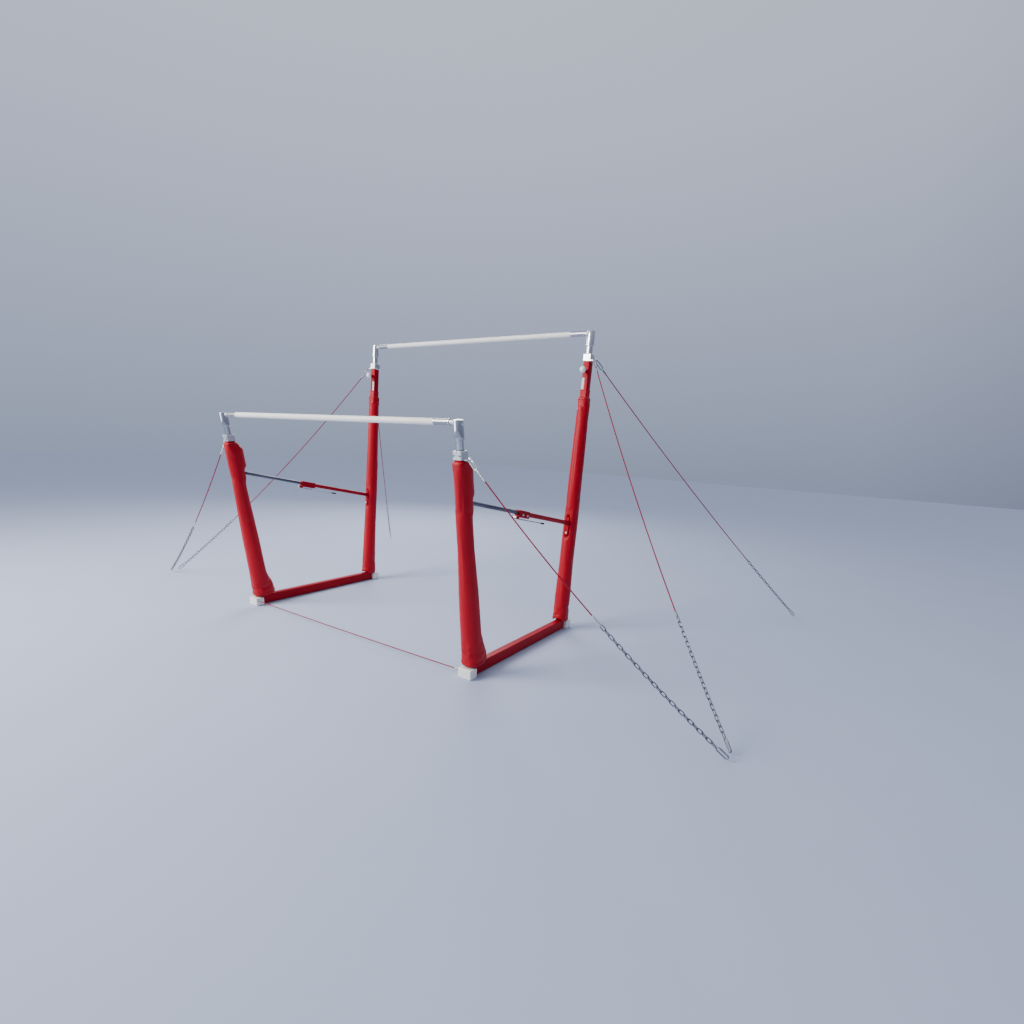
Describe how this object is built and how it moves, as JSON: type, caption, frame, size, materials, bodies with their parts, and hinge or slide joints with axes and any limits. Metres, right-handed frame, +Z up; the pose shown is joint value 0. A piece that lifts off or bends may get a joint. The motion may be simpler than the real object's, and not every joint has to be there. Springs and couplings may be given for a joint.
{
  "type": "uneven parallel bars",
  "caption": "Uneven parallel bars: two parallel rails at different heights on hinged telescopic padded posts, joined by spreaders and braced by tension lines",
  "frame": {"origin": "on the floor, under the middle of the apparatus without its tension lines", "axes": "+X along the bars towards the right side frame, +Y from the low bar towards the high bar, +Z up"},
  "size_m": [6.0198, 3.4027, 2.4999],
  "materials": {
    "red_vinyl": "smooth, semi-gloss coated vinyl over foam",
    "red_paint": "gloss enamel",
    "red_cable": "PVC-sheathed wire rope",
    "cream_bar": "matt lacquered wood veneer",
    "aluminium": "machined, satin",
    "chrome": "polished plate",
    "grey_steel": "satin",
    "dark_steel": "blackened, satin",
    "white_plastic": "moulded",
    "white_foot": "moulded"
  },
  "bodies": {
    "root": {"base_frame_left": "red_paint", "base_frame_right": "red_paint", "foot_front_left": "white_foot", "foot_front_right": "white_foot", "foot_rear_left": "white_foot", "foot_rear_right": "white_foot", "hinge_pin_low_left": "grey_steel", "hinge_pin_low_right": "grey_steel", "hinge_pin_high_left": "grey_steel", "hinge_pin_high_right": "grey_steel", "tie_cable": "red_cable", "tension_line_low_left": "red_cable", "tension_line_low_right": "red_cable", "tension_line_high_front_left": "red_cable", "tension_line_high_front_right": "red_cable", "tension_line_high_back_left": "red_cable", "tension_line_high_back_right": "red_cable"},
    "high_posts": {"post_high_left": "red_paint", "post_high_right": "red_paint", "collar_high_left": "aluminium", "collar_high_right": "aluminium", "pad_high_left": "red_vinyl", "pad_high_right": "red_vinyl", "hook_high_front_left": "grey_steel", "hook_high_front_right": "grey_steel", "hook_high_back_left": "grey_steel", "hook_high_back_right": "grey_steel"},
    "low_posts": {"post_low_left": "red_paint", "post_low_right": "red_paint", "collar_low_left": "aluminium", "collar_low_right": "aluminium", "pad_low_left": "red_vinyl", "pad_low_right": "red_vinyl", "hook_low_left": "grey_steel", "hook_low_right": "grey_steel"},
    "high_bar": {"bar_rail_high": "cream_bar", "bar_sleeve_high_left": "grey_steel", "bar_sleeve_high_right": "grey_steel", "bar_head_high_left": "chrome", "bar_head_high_right": "chrome", "inner_tube_high_left": "chrome", "inner_tube_high_right": "chrome"},
    "low_bar": {"bar_rail_low": "cream_bar", "bar_sleeve_low_left": "grey_steel", "bar_sleeve_low_right": "grey_steel", "bar_head_low_left": "chrome", "bar_head_low_right": "chrome", "inner_tube_low_left": "chrome", "inner_tube_low_right": "chrome"},
    "spreader_tubes": {"spreader_tube_left": "red_paint", "spreader_tube_right": "red_paint"},
    "spreader_rods": {"spreader_rod_left": "dark_steel", "spreader_rod_right": "dark_steel"},
    "spreader_lever_left": {"spreader_lever_left": "grey_steel"},
    "spreader_lever_right": {"spreader_lever_right": "grey_steel"},
    "pull_pin_low_left": {"pull_knob_low_left": "white_plastic"},
    "pull_pin_low_right": {"pull_knob_low_right": "white_plastic"},
    "pull_pin_high_left": {"pull_knob_high_left": "white_plastic"},
    "pull_pin_high_right": {"pull_knob_high_right": "white_plastic"}
  },
  "joints": [
    {"name": "high_tilt", "type": "hinge", "parent": "root", "child": "high_posts", "pos_m": [0, 0.624, 0.12], "axis": [1, 0, 0], "range_deg": [0, 7]},
    {"name": "low_tilt", "type": "hinge", "parent": "root", "child": "low_posts", "pos_m": [0, -0.624, 0.12], "axis": [1, 0, 0], "range_deg": [-10.7, 0]},
    {"name": "high_bar_height", "type": "slide", "parent": "high_posts", "child": "high_bar", "axis": [0, 0.0792, 0.9969], "range_m": [-0.05, 0.1]},
    {"name": "low_bar_height", "type": "slide", "parent": "low_posts", "child": "low_bar", "axis": [0, -0.1182, 0.993], "range_m": [-0.05, 0.1]},
    {"name": "spreader_swing", "type": "hinge", "parent": "high_posts", "child": "spreader_tubes", "pos_m": [0, 0.61499, 0.95905], "axis": [1, 0, 0], "range_deg": [-10.6, 0.2]},
    {"name": "spreader_slide", "type": "slide", "parent": "spreader_tubes", "child": "spreader_rods", "axis": [0, -0.9827, 0.185], "range_m": [-0.3, 0.002]},
    {"name": "spreader_lever_left_turn", "type": "hinge", "parent": "spreader_tubes", "child": "spreader_lever_left", "pos_m": [-1.26, -0.16902, 1.07001], "axis": [1, 0, 0], "range_deg": [-100, 0]},
    {"name": "spreader_lever_right_turn", "type": "hinge", "parent": "spreader_tubes", "child": "spreader_lever_right", "pos_m": [1.26, -0.16902, 1.07001], "axis": [1, 0, 0], "range_deg": [-100, 0]},
    {"name": "pull_pin_low_left_pull", "type": "slide", "parent": "low_posts", "child": "pull_pin_low_left", "axis": [0, 0.993, 0.1182], "range_m": [0, 0.01], "stiffness_N_per_m": 500, "springref_m": -0.012},
    {"name": "pull_pin_low_right_pull", "type": "slide", "parent": "low_posts", "child": "pull_pin_low_right", "axis": [0, 0.993, 0.1182], "range_m": [0, 0.01], "stiffness_N_per_m": 500, "springref_m": -0.012},
    {"name": "pull_pin_high_left_pull", "type": "slide", "parent": "high_posts", "child": "pull_pin_high_left", "axis": [0, -0.9969, 0.0792], "range_m": [0, 0.012], "stiffness_N_per_m": 500, "springref_m": -0.012},
    {"name": "pull_pin_high_right_pull", "type": "slide", "parent": "high_posts", "child": "pull_pin_high_right", "axis": [0, -0.9969, 0.0792], "range_m": [0, 0.012], "stiffness_N_per_m": 500, "springref_m": -0.012}
  ],
  "couplings": [
    {"joint": "low_tilt", "follows": "high_tilt", "ratio": -1.5},
    {"joint": "spreader_swing", "follows": "high_tilt", "ratio": -1.4567},
    {"joint": "spreader_slide", "follows": "high_tilt", "m_per_rad": -2.4071}
  ]
}
